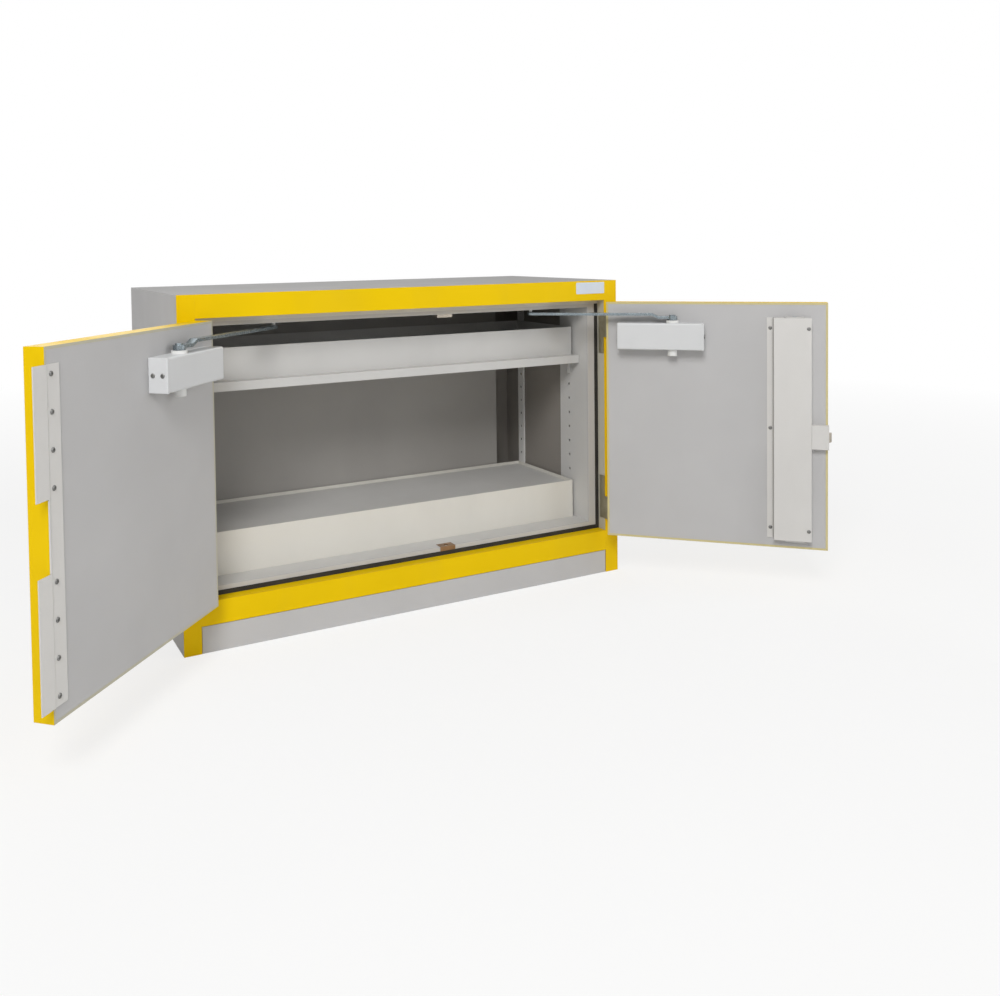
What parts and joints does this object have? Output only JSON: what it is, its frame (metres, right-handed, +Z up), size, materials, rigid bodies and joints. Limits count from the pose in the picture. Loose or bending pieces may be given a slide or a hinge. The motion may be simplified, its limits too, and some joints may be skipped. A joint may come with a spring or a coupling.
{
  "type": "fireproof safety cabinet",
  "caption": "Under-bench fireproof safety cabinet with hinged insulated doors, door closers, lock rods, shelf tray and sump tray with bottle platform.",
  "frame": {"origin": "middle of the rectangular footprint of the carcass, on the floor", "axes": "+X to the right along the front, +Y from the doors to the back, +Z up"},
  "size_m": [1.4161, 0.7799, 0.6],
  "materials": {
    "grey_sheet": "light grey powder coat",
    "yellow_sheet": "safety yellow powder coat",
    "inner_lining": "light grey coated lining",
    "insulation": "mineral board",
    "seal_black": "matt",
    "seal_grey": "matt",
    "tray_white": "off-white powder coat",
    "zinc_steel": "zinc plated",
    "dark_steel": "passivated",
    "closer_paint": "light grey paint",
    "cover_paint": "light powder coat",
    "white_plastic": "satin",
    "copper_steel": "yellow passivated",
    "track_alloy": "anodised",
    "handle_black": "fine grain"
  },
  "bodies": {
    "cabinet": {"air_duct": "inner_lining", "back_liner": "inner_lining", "back_panel": "grey_sheet", "base_pan": "grey_sheet", "bottom_keeper": "copper_steel", "bottom_rail": "yellow_sheet", "ceiling_liner": "inner_lining", "closer_tracks": "track_alloy", "door_seal": "seal_black", "duct_spigots": "zinc_steel", "floor_liner": "inner_lining", "front_uprights": "inner_lining", "hinge_frame_leaves": "dark_steel", "hinge_pins": "dark_steel", "insulation_boards": "insulation", "plinth_panel": "grey_sheet", "rear_uprights": "inner_lining", "rebate_frame": "grey_sheet", "shelf": "inner_lining", "shelf_clips": "zinc_steel", "side_liners": "inner_lining", "side_panels": "grey_sheet", "stiles": "yellow_sheet", "top_keeper": "zinc_steel", "top_panel": "grey_sheet", "top_rail": "yellow_sheet", "top_seal": "seal_grey"},
    "left_door": {"astragal_plate": "cover_paint", "left_closer_body": "closer_paint", "left_closer_bushes": "white_plastic", "left_closer_cap": "closer_paint", "left_door_core": "insulation", "left_door_panel": "inner_lining", "left_door_screws": "zinc_steel", "left_door_skin": "yellow_sheet", "left_hinge_door_leaves": "dark_steel"},
    "right_door": {"handle_plate": "handle_black", "lock_case": "cover_paint", "lock_cover": "cover_paint", "lock_cylinder": "zinc_steel", "right_closer_body": "closer_paint", "right_closer_bushes": "white_plastic", "right_closer_cap": "closer_paint", "right_door_core": "insulation", "right_door_panel": "inner_lining", "right_door_screws": "zinc_steel", "right_door_skin": "yellow_sheet", "right_hinge_door_leaves": "dark_steel"},
    "bottle_platform": {"bottle_platform": "inner_lining"},
    "bottom_rod": {"bottom_lock_rod": "zinc_steel"},
    "handle": {"door_handle": "handle_black"},
    "latch": {"latch_bolt": "zinc_steel"},
    "left_closer_arm": {"left_closer_arm": "zinc_steel"},
    "left_closer_slider": {"left_closer_slider": "white_plastic"},
    "right_closer_arm": {"right_closer_arm": "zinc_steel"},
    "right_closer_slider": {"right_closer_slider": "white_plastic"},
    "shelf_tray": {"shelf_tray": "tray_white"},
    "sump_tray": {"sump_tray": "tray_white"},
    "top_rod": {"top_lock_rod": "zinc_steel"}
  },
  "joints": [
    {"name": "left_door_hinge", "type": "hinge", "parent": "cabinet", "child": "left_door", "pos_m": [-0.417, -0.2084, 0.3], "axis": [0, 0, 1], "range_deg": [0, 133.6]},
    {"name": "left_closer_arm_pivot", "type": "hinge", "parent": "left_door", "child": "left_closer_arm", "pos_m": [-0.47357, -0.33653, 0.527], "axis": [0, 0, 1], "range_deg": [-174.01, 0]},
    {"name": "left_closer_slide", "type": "slide", "parent": "cabinet", "child": "left_closer_slider", "axis": [1, 0, 0], "range_m": [0, 0.25914]},
    {"name": "right_door_hinge", "type": "hinge", "parent": "cabinet", "child": "right_door", "pos_m": [0.417, -0.2084, 0.3], "axis": [0, 0, -1], "range_deg": [0, 135.7]},
    {"name": "right_closer_arm_pivot", "type": "hinge", "parent": "right_door", "child": "right_closer_arm", "pos_m": [0.47822, -0.33437, 0.527], "axis": [0, 0, -1], "range_deg": [-175.52, 0]},
    {"name": "right_closer_slide", "type": "slide", "parent": "cabinet", "child": "right_closer_slider", "axis": [-1, 0, 0], "range_m": [0, 0.26189]},
    {"name": "handle_turn", "type": "hinge", "parent": "right_door", "child": "handle", "pos_m": [0.67115, -0.45697, 0.305], "axis": [-0.6984, -0.7157, 0], "range_deg": [0, 45]},
    {"name": "top_rod_slide", "type": "slide", "parent": "right_door", "child": "top_rod", "axis": [0, 0, 1], "range_m": [0, 0.0121]},
    {"name": "bottom_rod_slide", "type": "slide", "parent": "right_door", "child": "bottom_rod", "axis": [0, 0, -1], "range_m": [0, 0.0121]},
    {"name": "latch_slide", "type": "slide", "parent": "right_door", "child": "latch", "axis": [-0.7157, 0.6984, 0], "range_m": [0, 0.006], "stiffness_N_per_m": 300},
    {"name": "sump_tray_slide", "type": "slide", "parent": "cabinet", "child": "sump_tray", "axis": [0, 1, 0], "range_m": [-0.2, 0]},
    {"name": "shelf_tray_slide", "type": "slide", "parent": "cabinet", "child": "shelf_tray", "axis": [0, 1, 0], "range_m": [-0.2, 0]},
    {"name": "bottle_platform_lift", "type": "slide", "parent": "sump_tray", "child": "bottle_platform", "axis": [0, 0, 1], "range_m": [0, 0.06]}
  ],
  "couplings": [
    {"joint": "left_closer_arm_pivot", "follows": "left_door_hinge", "ratio": -1.2987},
    {"joint": "left_closer_slide", "follows": "left_door_hinge", "m_per_rad": 0.11092},
    {"joint": "right_closer_arm_pivot", "follows": "right_door_hinge", "ratio": -1.2897},
    {"joint": "right_closer_slide", "follows": "right_door_hinge", "m_per_rad": 0.11036},
    {"joint": "top_rod_slide", "follows": "handle_turn", "m_per_rad": 0.015279},
    {"joint": "bottom_rod_slide", "follows": "handle_turn", "m_per_rad": 0.015279}
  ]
}
